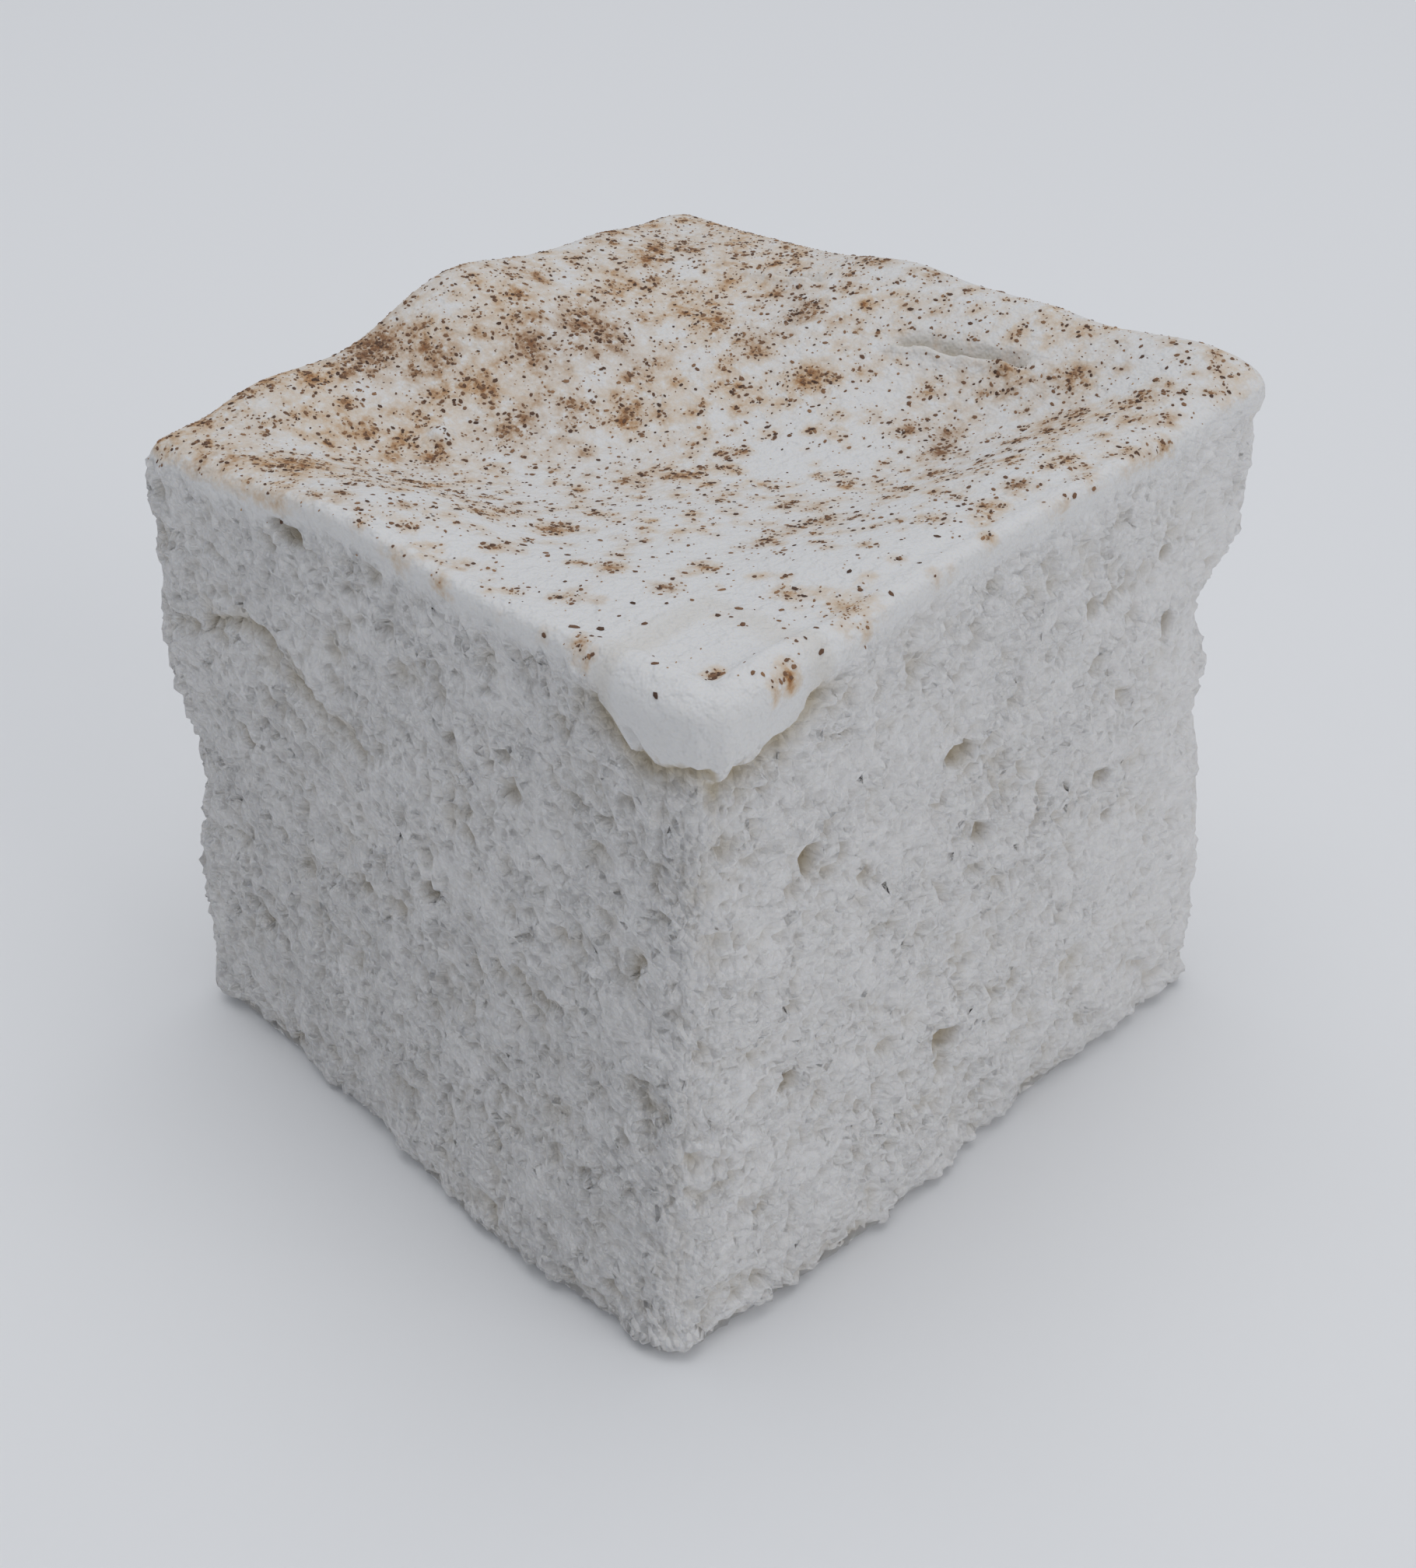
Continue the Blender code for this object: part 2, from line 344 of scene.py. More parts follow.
# %% [markdown]
# ## Burst bubbles, cracks and creases
#
# Big bubbles in the foam are cut open by the knife. Each leaves a hole with a sharp upper edge
# and a softer lower one, because the knife drags foam down over it. The large ones on the two
# front sides are listed one by one, and a seeded random scatter covers all four sides, so the back
# is as lively as the front. Cracks and folds are grooves along short lines. Each is a dent made
# by a rule of distance, because cutting them with other bodies would leave sharp, clean walls.

# %% Choose the bubbles
# side, place along it, height, half width, half height, depth
FRONT, RIGHT, BACK, LEFT = 0, 1, 2, 3
HOLES = (
    (FRONT, -8.4, 39.2, 1.3, 0.65, 1.5), (FRONT, -10.4, 38.0, 0.8, 0.6, 0.6),
    (FRONT, -14.5, 23.9, 0.9, 0.8, 1.0), (FRONT, 2.2, 21.4, 0.9, 0.6, 1.7),
    (FRONT, -1.2, 18.3, 0.5, 0.4, 0.7), (FRONT, -4.4, 18.1, 0.6, 0.45, 0.8),
    (FRONT, 9.1, 23.4, 0.4, 0.6, 0.7), (FRONT, 5.7, 26.8, 0.5, 0.5, 0.7),
    (RIGHT, -13.7, 28.8, 0.65, 1.15, 1.2), (RIGHT, -9.6, 25.7, 0.7, 0.5, 0.8),
    (RIGHT, -2.2, 29.7, 1.0, 0.7, 1.2), (RIGHT, 11.3, 21.7, 0.9, 0.6, 1.0),
    (RIGHT, -0.1, 23.6, 0.9, 0.5, 1.0), (RIGHT, -2.1, 10.3, 1.3, 0.7, 1.3),
    (RIGHT, -15.6, 15.2, 0.9, 0.6, 1.2), (RIGHT, -9.9, 10.1, 0.6, 0.4, 0.7),
    (RIGHT, -23.0, 22.3, 0.6, 0.5, 0.7), (RIGHT, 16.1, 30.0, 0.8, 0.9, 1.1),
    (RIGHT, 15.0, 5.9, 0.6, 0.5, 0.7), (RIGHT, 10.5, 6.5, 0.5, 0.4, 0.6),
    (RIGHT, -18.1, 7.5, 0.5, 0.4, 0.6), (RIGHT, 8.6, 34.1, 0.7, 0.7, 0.9),
    (RIGHT, 9.1, 28.7, 0.5, 0.6, 0.6),
)
BUBBLES_PER_SIDE = {FRONT: 26, RIGHT: 34, BACK: 46, LEFT: 46}


def random_bubbles(seed):
    """Small bubbles for all sides: many tiny ones, few large ones."""
    chance = np.random.default_rng(seed)
    bubbles = []
    for side, count in BUBBLES_PER_SIDE.items():
        large = 1.0 if side in (BACK, LEFT) else 0.55
        for _ in range(count):
            size = 0.22 + 0.75 * large * chance.random() ** 3.0
            bubbles.append((side, chance.uniform(-21, 21), chance.uniform(2.0, 36.0),
                            size * chance.uniform(0.8, 1.5), size * chance.uniform(0.6, 1.1),
                            0.35 + 1.0 * size * chance.uniform(0.6, 1.2)))
    return bubbles


holes = list(HOLES) + random_bubbles(seed=11)
print(len(HOLES), "bubbles by hand,", len(holes), "in all")

# %% Press in the holes
SIDE_FACES = ((0, (0, -1)), (1, (1, 0)), (0, (0, 1)), (1, (-1, 0)))   # axis along it, outward
HOLE_DEEPER = 1.35      # the next net softens the holes, so they are pressed in deeper


def on_side(outward, side):
    """The axis that runs along this side, and which points lie on it."""
    axis, facing = SIDE_FACES[side]
    return axis, (outward[:, 0] * facing[0] + outward[:, 1] * facing[1]) > 0.6


def press_holes(points, outward, holes):
    """Push in each hole, deepest under its upper edge."""
    moved = points.copy()
    for side, place, height, half_width, half_height, depth in holes:
        axis, here = on_side(outward, side)
        across = (points[:, axis] - place) / half_width
        up = (points[:, 2] - height) / half_height
        near = here & (across ** 2 + up ** 2 < 4.0)
        across, up = across[near], up[near]
        tear = 1.0 + 0.55 * hills(points[near], 0.8, 5)
        distance = np.sqrt(across ** 2 + (up * np.where(up > 0, 1.25, 0.85)) ** 2) * tear
        bowl = np.clip(1.0 - distance ** 2, 0.0, 1.0) ** 0.45
        rim = 0.12 * fall(distance - 1.15, 0.3)
        moved[near] += outward[near] * (rim - HOLE_DEEPER * depth * bowl)[:, None]
        moved[near, 2] += 0.45 * depth * bowl * np.clip(up + 0.5, 0.0, 1.0)
    return moved


def in_holes(points, outward, holes):
    """1 inside every hole, falling to 0 just outside its edge."""
    inside = np.zeros(len(points))
    for side, place, height, half_width, half_height, depth in holes:
        axis, here = on_side(outward, side)
        distance = np.hypot((points[:, axis] - place) / half_width,
                            (points[:, 2] - height) / half_height)
        inside = np.maximum(inside, here * (1.0 - ramp(distance, 0.8, 1.3)))
    return inside


points = read_points(marshmallow)
outward, depth = smooth_surface(points)
before = points
points = press_holes(points, outward, holes)
print("deepest hole:", round(float(np.linalg.norm(points - before, axis=1).max()), 1), "mm")

# %% Cut the cracks and folds
# line of (place along, height) on a side, half width, depth
CRACKS = (
    (FRONT, ((-18.9, 29.4), (-15.5, 31.2), (-12.1, 32.0), (-8.6, 30.1)), 0.35, 0.7),
    (FRONT, ((-15.1, 32.9), (-10.9, 30.6)), 0.4, 0.5),
    (FRONT, ((-12.1, 30.1), (-7.5, 29.2), (-3.5, 27.7)), 0.4, 0.55),
    (FRONT, ((18.2, 38.6), (18.9, 37.4)), 0.35, 1.1),
    (FRONT, ((19.4, 35.1), (19.7, 32.0)), 0.25, 0.7),
    (FRONT, ((19.3, 30.6), (19.1, 28.2)), 0.22, 0.5),
    (FRONT, ((18.3, 24.6), (18.1, 23.6)), 0.35, 0.9),
    (RIGHT, ((-13.5, 35.6), (-11.2, 35.3)), 0.3, 0.45),
)
# line of (x, y) over the top, half width, depth
FOLDS = (
    (((2.3, 16.2), (3.6, 16.9), (7.0, 17.6), (9.6, 18.2)), 0.42, 1.4),
    (((-10.6, 17.5), (-8.4, 17.7), (-6.6, 18.2)), 0.5, 0.7),
)
CRACK_DEEPER = 1.2                      # and so are the cracks
FOLD_LIP = 0.65                         # height of the lip on the near side of a fold
LUMP = (-12.4, -7.3, 0.8, 0.9)          # x, y, reach and height of a drop of skin


def distance_to_line(a, b, line):
    """Distance from each place to a line of joined pieces."""
    closest = np.full(a.shape, np.inf)
    for (a0, b0), (a1, b1) in zip(line, line[1:]):
        length = math.hypot(a1 - a0, b1 - b0)
        step_a, step_b = (a1 - a0) / length, (b1 - b0) / length
        t = np.clip((a - a0) * step_a + (b - b0) * step_b, 0.0, length)
        closest = np.minimum(closest, np.hypot(a - a0 - t * step_a, b - b0 - t * step_b))
    return closest


shake = 0.35 * np.stack([hills(points, 1.3, 6), hills(points, 1.3, 7)], axis=1)
for side, line, half_width, depth in CRACKS:
    axis, here = on_side(outward, side)
    gap = distance_to_line(points[:, axis] + shake[:, 0], points[:, 2] + shake[:, 1], line)
    points -= outward * (here * CRACK_DEEPER * depth * fall(gap, half_width))[:, None]
on_top = outward[:, 2] > 0.6
for line, half_width, depth in FOLDS:
    gap = distance_to_line(points[:, 0] + 0.5 * shake[:, 0],
                           points[:, 1] + 0.5 * shake[:, 1], line)
    lip_gap = distance_to_line(points[:, 0], points[:, 1] + 1.3 * half_width, line)
    points[:, 2] -= on_top * depth * fall(gap, half_width)
    points[:, 2] += on_top * FOLD_LIP * fall(lip_gap, 0.9 * half_width)
lump_gap = np.hypot(points[:, 0] - LUMP[0], points[:, 1] - LUMP[1])
points[:, 2] += on_top * LUMP[3] * fall(lump_gap, LUMP[2])
write_points(marshmallow, points)
print(len(CRACKS), "cracks and", len(FOLDS), "folds")

# %% [markdown]
# ## Lumps along the foot and the cut edges
#
# The knife squashed the soft foam where it left the slab. Small round lobes bulge out along the
# foot, and the near edge on the right side carries lumps stretched level by the blade. That edge
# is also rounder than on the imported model, so its foam is worn back to a larger radius. A bevel
# can't do that on a mesh without edges, but a rule can: a point further than the radius from the
# rounding's centre line moves in until it is on it.

# %% Wear the front edge round
EDGE_RADIUS = 3.4
MODEL_EDGE_RADIUS = 1.6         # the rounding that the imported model's edge has already


def edge_rounding(foot, below):
    """How far the foam of the front edge is worn back, and which way, under each point."""
    base, slope = posts[2]
    tip = (base + slope * foot[:, 2:3])[:, :2]
    tip_to_corner = MODEL_EDGE_RADIUS * (1.0 - math.sqrt(0.5))
    inward = tip + (tip_to_corner - EDGE_RADIUS) * np.array(RING[2]) - foot[:, :2]
    distance = np.linalg.norm(inward, axis=1)
    worn = np.clip(distance - EDGE_RADIUS, 0.0, 1.5) * (inward[:, 0] < 0) * (inward[:, 1] > 0)
    return worn * ramp(below, 3.5, 6.0) * ramp(foot[:, 2], 0.5, 3.5), inward / distance[:, None]


points = read_points(marshmallow)
outward, depth = smooth_surface(points)
along, below = around(points), below_rim(points)
worn, inward = edge_rounding(points + depth[:, None] * outward, below)
print("front edge worn back by up to", round(float(worn.max()), 2), "mm")

# %% Raise the lobes and the stretched lumps
FOOT_LOBE = 0.65                        # height, size and reach up the side of the lobes
FOOT_LOBE_SIZE = 2.6
FOOT_BAND = 4.0
DRAGGED_LUMP = 0.65                     # height of the stretched lumps
DRAGGED_CELL = (3.0, 0.75, 1.0)         # and how they are stretched: along, up and through
SLOW_LUMP = 0.20                        # height of the slow unevenness of the foam
SKIN_WAVE = 0.16                        # and of the skin

foam_share = sideways(outward) * ramp(below, 1.5, 5.0)
flat = np.stack([along, points[:, 2], np.zeros(len(points))], axis=1)
lobes = FOOT_LOBE * hills(flat, FOOT_LOBE_SIZE, 8) * fall(points[:, 2], FOOT_BAND)
lobes *= ramp(np.abs(from_back_edge(points)), 0.3, 2.5)
dragged = DRAGGED_LUMP * hills(flat / np.array(DRAGGED_CELL), 1.2, 9)
dragged *= ramp(along, 0.2, 1.2) * (1.0 - ramp(along, 4.0, 7.0))
slow = SLOW_LUMP * (hills(points, 3.4, 10) + 0.6 * hills(points, 1.9, 12))
waves = SKIN_WAVE * hills(points, 4.5, 13) * (outward[:, 2] > 0.3)
move = foam_share * (lobes + dragged + slow) + waves
move *= ramp(points[:, 2], 0.0, 0.5) * (outward[:, 2] > -0.5)
points += outward * move[:, None]
points[:, :2] += (worn * (outward[:, 2] > -0.5))[:, None] * inward
write_points(marshmallow, points)
print("lumps between", np.percentile(move, (1, 99)).round(2), "mm")

# %% Lay an even net again over the stretched places
SECOND_VOXEL = 0.26
apply_modifier(marshmallow, "REMESH", mode="VOXEL", voxel_size=SECOND_VOXEL * MM)

# %% [markdown]
# ## The crumb of the cut foam
#
# Close up, the cut side looks like overlapping flakes, each about a millimetre long. The blade
# pulled them round the block, falling away from the front edge, so they are longer that way,
# higher at the far end and steep where the next one starts. Cells round scattered points give
# this: inside a cell the height rises along the pull, and at the cell's border it drops into a
# narrow groove. Three layers of cells, large to small, are added up. The cells are laid on the
# unrolled sides, slanted but not turned, so that they run on unbroken round the front edge.

# %% Describe a flake
TORN_SHARE = 0.07               # share of the flakes that the blade tore out


def dice(column, row, seed):
    """A steady random number from 0 to 1 for each whole-numbered cell."""
    mixed = np.sin(column * 127.1 + row * 311.7 + seed * 74.7) * 43758.5453
    return mixed - np.floor(mixed)


def flakes(a, b, seed):
    """For each place: distance inside its cell's border, place along the cell, and a number."""
    column, row = np.floor(a), np.floor(b)
    nearest, second = np.full(a.shape, 9.0), np.full(a.shape, 9.0)
    lengthways, number = np.zeros(a.shape), np.zeros(a.shape)
    for right in (-1, 0, 1):
        for up in (-1, 0, 1):
            c, r = column + right, row + up
            across = a - c - 0.1 - 0.8 * dice(c, r, seed)
            distance = np.hypot(across, b - r - 0.1 - 0.8 * dice(c, r, seed + 1))
            closer = distance < nearest
            second = np.where(closer, nearest, np.minimum(second, distance))
            lengthways = np.where(closer, across, lengthways)
            number = np.where(closer, dice(c, r, seed + 2), number)
            nearest = np.minimum(nearest, distance)
    return second - nearest, lengthways, number


def flake_relief(a, b, size, height, seed, torn_depth):
    """Height of one layer of flakes: each at its own level, raised at the far end, some torn."""
    border, lengthways, number = flakes(a / size, b / size, seed)
    gap = 1.0 - ramp(border, 0.0, 0.25)
    torn = (number < TORN_SHARE) * (1.0 - gap)
    return height * (number - 0.5 + 0.6 * lengthways - 0.35 * gap) - torn_depth * torn


# %% Work out where the foam is open
SMOOTH_BELOW_RIM = (0.3, 2.0)           # the crumb fades in between these depths below the rim
FINE_FROM = 44.0                        # mm along the right side, where the crumb is finest
COARSE_AGAIN = (60.0, 80.0)             # mm along, round on the back


def finer_far_right(along, start, amount):
    """A share that drops by this amount round the far right edge, where the crumb is finer."""
    return 1.0 - amount * ramp(along, start, FINE_FROM) * (1.0 - ramp(along, *COARSE_AGAIN))


points = read_points(marshmallow)
outward, depth = smooth_surface(points)
along, below = around(points), below_rim(points)
at_edge, hem_reach = along_hem(points)
hem_line = hem_drop(at_edge)
crumb_share = sideways(outward) * ramp(below, *SMOOTH_BELOW_RIM)
crumb_share *= 1.0 - in_holes(points, outward, holes)
crumb_share *= 1.0 - hem_reach * (1.0 - ramp(below - hem_line, -0.2, 0.3))
crumb_share *= finer_far_right(along, 28.0, 0.35)
print("open foam:", round(100 * float((crumb_share > 0.5).mean())), "% of the points")

# %% Cover the sides with flakes
PULL_SLANT = (0.30, 0.08)       # fall of the pull per mm along, left and right of the front edge
FLAKE_STRETCH = 1.25
# size, height, seed, depth where torn
FLAKE_LAYERS = ((1.5, 0.17, 30, 0.0), (0.85, 0.31, 40, 0.20), (0.55, 0.23, 50, 0.10))
DRAG_GROOVE = 0.10              # depth of the long grooves that the blade drew on the left
BACK_BLEND = (2.5, 5.0)         # mm from the back edge, between which its own flakes fade out


def pulled(along, height):
    """Place on the unrolled sides, slanted and stretched along the blade's pull, in mm."""
    slant = np.where(along < 0, PULL_SLANT[0], PULL_SLANT[1])
    return along / FLAKE_STRETCH, height + slant * along


def all_layers(a, b):
    """The three layers of flakes together."""
    return sum(flake_relief(a, b, *layer) for layer in FLAKE_LAYERS)


warp_along = along + 0.8 * hills(points, 3.0, 20) + 0.25 * hills(points, 0.8, 22)
warp_height = points[:, 2] + 0.8 * hills(points, 3.0, 21) + 0.25 * hills(points, 0.8, 23)
a, b = pulled(warp_along, warp_height)
rough = 1.0 + 0.45 * hills(points, 4.5, 24)
relief = all_layers(a, b) * rough
streaks = hills(np.stack([a / 5.0, b / 0.9, np.zeros(len(a))], axis=1), 1.0, 25)
grooves = np.clip(1.0 - 4.0 * np.abs(streaks), 0.0, 1.0)
relief -= DRAG_GROOVE * grooves * ramp(-along, 0.5, 2.5)
relief *= (1.0 + 0.2 * ramp(along, -1.5, 1.5)) * (0.6 + 0.4 * ramp(np.abs(along), 0.0, 2.0))

# the unrolled sides start and end at the back left edge, so that edge gets flakes of its own
back = from_back_edge(points)
near = np.flatnonzero(np.abs(back) < BACK_BLEND[1])
a, b = (back + warp_along - along)[near] / FLAKE_STRETCH, warp_height[near]
back_relief = all_layers(a, b) * rough[near]
relief[near] += (1.0 - ramp(np.abs(back[near]), *BACK_BLEND)) * (back_relief - relief[near])
points += outward * (crumb_share * relief * ramp(points[:, 2], 0.0, 1.0))[:, None]
write_points(marshmallow, points)
print("crumb relief:", np.percentile(relief, (1, 50, 99)).round(2), "mm")

# %% Thin the net on the sides and the base
FACE_BUDGET = 196000    # the top keeps its whole net, because the stain is kept on its points

may_thin = marshmallow.vertex_groups.new(name="may_thin")
may_thin.add(np.flatnonzero(outward[:, 2] < 0.5).tolist(), 1.0, "REPLACE")
triangles = sum(len(face.vertices) - 2 for face in marshmallow.data.polygons)
apply_modifier(marshmallow, "DECIMATE", ratio=FACE_BUDGET / triangles, vertex_group="may_thin",
               vertex_group_factor=0.001)
marshmallow.vertex_groups.clear()
bpy.ops.object.shade_smooth()

# %% [markdown]
# ## Where the cinnamon fell
#
# The powder fell in pinches. Each pinch is a cluster: a few coarse dark flecks, a cloud of fine
# rust-red dust, and a stain where the damp skin drew the colour out. Between the pinches lie
# single flecks. The big pinches and the largest flecks near the front are listed one by one. The
# rest is scattered by a density that is high at the back and left, thin at the front corner, and
# almost nil in two bare patches, because an even scatter would look printed.

# %% Choose the big pinches and the largest flecks
# x, y, reach, flecks, strength of the stain
PINCHES = (
    (7.2, 11.3, 0.8, 5, 1.0), (9.3, 12.3, 1.0, 6, 0.7), (10.2, 10.5, 0.9, 6, 0.6),
    (-0.6, 10.7, 1.1, 8, 0.6), (-3.4, 8.0, 0.8, 5, 0.6), (0.0, 3.3, 0.6, 3, 0.7),
    (0.9, 4.0, 0.5, 3, 0.7), (-13.7, 1.0, 1.7, 14, 0.8), (-11.6, -8.7, 0.9, 7, 0.9),
    (-12.3, -17.4, 1.3, 9, 0.7), (-17.8, -3.9, 1.5, 14, 0.45), (-19.5, -7.3, 1.4, 12, 0.45),
    (-19.9, -10.7, 1.2, 9, 0.5), (-10.5, -3.9, 1.3, 12, 0.5), (-6.6, 2.3, 1.1, 9, 0.6),
    (9.3, -14.4, 0.9, 5, 0.7), (13.1, -14.4, 0.8, 4, 0.8), (12.6, -11.0, 0.8, 4, 0.6),
    (-1.4, -12.4, 0.9, 5, 0.6), (2.2, -12.0, 0.8, 5, 0.6), (21.6, -10.1, 1.5, 4, 0.6),
    (18.1, -10.9, 0.8, 5, 0.5), (12.3, -1.9, 0.9, 8, 0.4), (12.2, -6.0, 0.9, 6, 0.5),
    (23.6, -16.6, 0.6, 2, 0.9), (20.1, 2.6, 0.7, 3, 0.9), (13.5, 18.3, 1.0, 8, 0.6),
    (9.5, 17.5, 0.8, 5, 0.5), (18.4, 17.2, 0.9, 6, 0.5), (15.5, 15.9, 0.8, 5, 0.5),
    (6.6, 4.2, 0.5, 2, 0.6), (8.9, 4.1, 0.5, 2, 0.6), (-13.3, 4.8, 1.2, 9, 0.5),
    (-8.2, 11.2, 1.1, 8, 0.6), (23.9, -17.7, 0.5, 2, 0.5), (20.8, -18.7, 0.35, 1, 0.6),
    (10.2, -18.2, 0.8, 3, 0.4), (-20.3, -5.4, 1.6, 14, 0.6), (2.1, -12.1, 0.6, 4, 0.8),
    (20.1, 8.9, 0.7, 4, 0.6), (-4.5, 15.0, 1.0, 8, 0.5),
)
# x, y and half width of the large single flecks near the front
LARGE_FLECKS = (
    (13.8, -19.5, 0.22), (15.2, -17.9, 0.16), (18.9, -14.9, 0.20), (19.0, -20.9, 0.17),
    (22.9, -18.4, 0.13), (23.2, -14.0, 0.23), (23.7, -15.9, 0.22), (20.2, -22.1, 0.20),
    (14.5, -15.7, 0.13), (15.3, -12.6, 0.18), (17.5, -13.7, 0.20), (19.9, -13.4, 0.14),
    (22.0, -13.0, 0.15), (12.8, -20.3, 0.24), (5.6, -15.5, 0.16), (8.8, -17.2, 0.14),
)
print(len(PINCHES), "pinches and", len(LARGE_FLECKS), "large flecks by hand")

# %% Scatter the small pinches, the single flecks and the dust
SMALL_PINCHES = 420
SINGLE_FLECKS = 3000
SINGLE_DUST = 2600
BARE_PATCHES = ((3.6, 4.1, 4.0), (15.5, -17.0, 5.0))      # x, y, reach
cast = np.random.default_rng(5)


def density(x, y):
    """How thickly the powder fell at a place, from 0 to 1."""
    from_front = ((block_high[0] - x) + (y - block_low[1])) / 2
    thick = 0.13 + 0.52 * ramp(from_front, 6.0, 24.0) + 0.35 * ramp(-x, 2.0, 15.0)
    for patch_x, patch_y, reach in BARE_PATCHES:
        thick = thick * (1.0 - 0.85 * fall(np.hypot(x - patch_x, y - patch_y), reach))
    return thick


def scattered(count):
    """Places on the skin, picked by the density."""
    places = []
    while len(places) < count:
        x = cast.uniform(block_low[0] + 0.6, block_high[0] - 0.6)
        y = cast.uniform(block_low[1] + 2.8, block_high[1] - 0.8)
        if cast.random() < density(x, y):
            places.append((x, y))
    return places


pinches = [list(pinch) for pinch in PINCHES]
for x, y in scattered(SMALL_PINCHES):
    reach = 0.25 + 0.5 * cast.random() ** 2
    count = 1 + int(5 * reach * cast.random())
    pinches.append([x, y, reach, count, 0.1 + 0.8 * cast.random() ** 2])
flecks = [(x, y, 0.3 * cast.random() ** 4) for x, y in scattered(SINGLE_FLECKS)]
dust = []
for x, y, reach, count, strength in pinches:
    for _ in range(4 * count):
        flecks.append((x + cast.normal(0, 0.6 * reach), y + cast.normal(0, 0.6 * reach), 0.03))
    for _ in range(int(26 * reach * reach * (0.4 + strength))):
        dust.append((x + cast.normal(0, 0.6 * reach), y + cast.normal(0, 0.6 * reach)))
dust += scattered(SINGLE_DUST)
print(len(pinches), "pinches,", len(flecks), "flecks,", len(dust), "grains of dust")

# %% [markdown]
# ## Notes on the block for its finish
#
# One material has to know where it is skin, foam, stain or a hollow with painted shade. That could
# be painted, but here each point of the mesh keeps a few numbers of its own, worked out by the same
# rules that shaped it, so that colour and shape always agree.

# %% Keep where the skin is


def store(piece, name, values):
    """Keep one number for each point of a piece, for its material to read."""
    piece.data.attributes.new(name, "FLOAT", "POINT").data.foreach_set(
        "value", np.asarray(values, np.float32))


points = read_points(marshmallow)
outward, depth = smooth_surface(points)
along, below = around(points), below_rim(points)
at_edge, hem_reach = along_hem(points)
below_hem = below - hem_drop(at_edge)
side_share = sideways(outward)
at_rim = 1.0 - side_share * ramp(below + 0.5 * hills(points, 1.6, 14), 0.5, 1.9)
at_hem = 1.0 - ramp(below_hem, -0.1, 0.3)
skin = at_rim * (1.0 - hem_reach) + at_hem * hem_reach
skin *= (outward[:, 2] > -0.5)
store(marshmallow, "skin", skin)
print("skin covers", round(100 * float((skin > 0.5).mean())), "% of the points")

# %% Keep where the cinnamon stained it
HALO_REACH = 0.5        # reach of the faint halo round a single fleck
STAIN_HALO = 0.30       # strength of a pinch's pale surround
STAIN_CORE = 0.55       # strength added at its middle
VEIL = 0.11             # the finest powder, wherever it fell thickly


def nearby(x, y, reach):
    """The points of the top within three times the reach of a place, and their distances."""
    gap = np.hypot(points[top, 0] - x, points[top, 1] - y)
    close = gap < 3.0 * reach
    return top[close], gap[close]


top = np.flatnonzero(below < 3.0)
thickness = density(points[:, 0], points[:, 1])
stain = VEIL * thickness * ramp(thickness, 0.2, 0.9) * (1.0 + hills(points, 3.0, 15))
for x, y, reach, count, strength in pinches:
    near, gap = nearby(x, y, reach)
    stain[near] += strength * (STAIN_HALO * fall(gap, reach) + STAIN_CORE * fall(gap, 0.4 * reach))
for x, y, strength in flecks:
    near, gap = nearby(x, y, HALO_REACH)
    stain[near] += strength * fall(gap, HALO_REACH)
in_fold = sum(fall(distance_to_line(points[:, 0], points[:, 1], line), 1.6 * half_width)
              for line, half_width, fold_depth in FOLDS)
on_lump = fall(np.hypot(points[:, 0] - LUMP[0], points[:, 1] - LUMP[1]), LUMP[2])
stain *= 1.0 - np.clip(0.85 * in_fold + on_lump, 0.0, 1.0)
stain *= ramp(outward[:, 2], 0.2, 0.5) * (1.0 - side_share * ramp(below, 0.3, 1.5))
store(marshmallow, "stain", np.clip(stain, 0.0, 1.0))
print("stained:", round(100 * float((stain[top] > 0.2).mean())), "% of the top")

# %% Keep where shade is painted: the hollows, where light goes warm
PAINTED_SHADE_FROM = 0.2       # depth at which painted warm shade starts in a hollow

worn, inward = edge_rounding(points + depth[:, None] * outward, below)
# painted shadow in the gap under the hem
painted_gap_shadow = 0.9 * hem_reach * fall(np.clip(below_hem, 0.0, None), 1.6)
# painted shade in pits deeper than the smooth block, plus the painted shadow under the hem
painted_shade = np.clip(depth - worn - PAINTED_SHADE_FROM, 0.0, 1.0) * side_share + painted_gap_shadow
painted_shade = np.clip(painted_shade, 0.0, 1.0) * (1.0 - at_hem * hem_reach)
# painted shade in the folds on top
painted_shade = np.maximum(painted_shade, np.clip(0.9 * in_fold, 0.0, 0.9) * (outward[:, 2] > 0.0))
store(marshmallow, "painted_shade", painted_shade)
print("hollow:", round(100 * float((painted_shade > 0.5).mean()), 1), "% of the points")

# %% Keep how rough the crumb is, and its place on the unrolled sides
coarse = (1.3 - 0.7 * ramp(points[:, 2], 12.0, 28.0)) * ramp(-along, -1.0, 2.0)
coarse = 1.0 + coarse * (1.0 - ramp(-along, 70.0, 85.0))
coarse *= ramp(np.abs(from_back_edge(points)), 0.3, 0.9)
coarse *= finer_far_right(along, 26.0, 0.45)
store(marshmallow, "rough", coarse * (1.0 + 0.5 * hills(points, 3.0, 26)))
a, b = pulled(along + 0.4 * hills(points, 2.0, 27), points[:, 2] + 0.4 * hills(points, 2.0, 28))
crumb_places = np.where((outward[:, 2] < -0.6)[:, None], points,
                        np.stack([a, b, depth], axis=1))
crumb = marshmallow.data.attributes.new("crumb", "FLOAT_VECTOR", "POINT")
crumb.data.foreach_set("vector", crumb_places.astype(np.float32).ravel())
print("crumb is", coarse.min().round(1), "to", coarse.max().round(1), "times as rough as usual")

# %% [markdown]
# ## The cinnamon as real grains
#
# Cinnamon is ground bark: flat, angular chips from a tenth to four tenths of a millimetre across,
# dark brown when coarse and damp, tan when fine. Each grain is modelled at its true size and lies
# on the skin, sunk to about half its thickness. One low ball is dented into a chip, and copies
# of it, each turned, stretched and shaded by chance, are joined into one piece per kind.

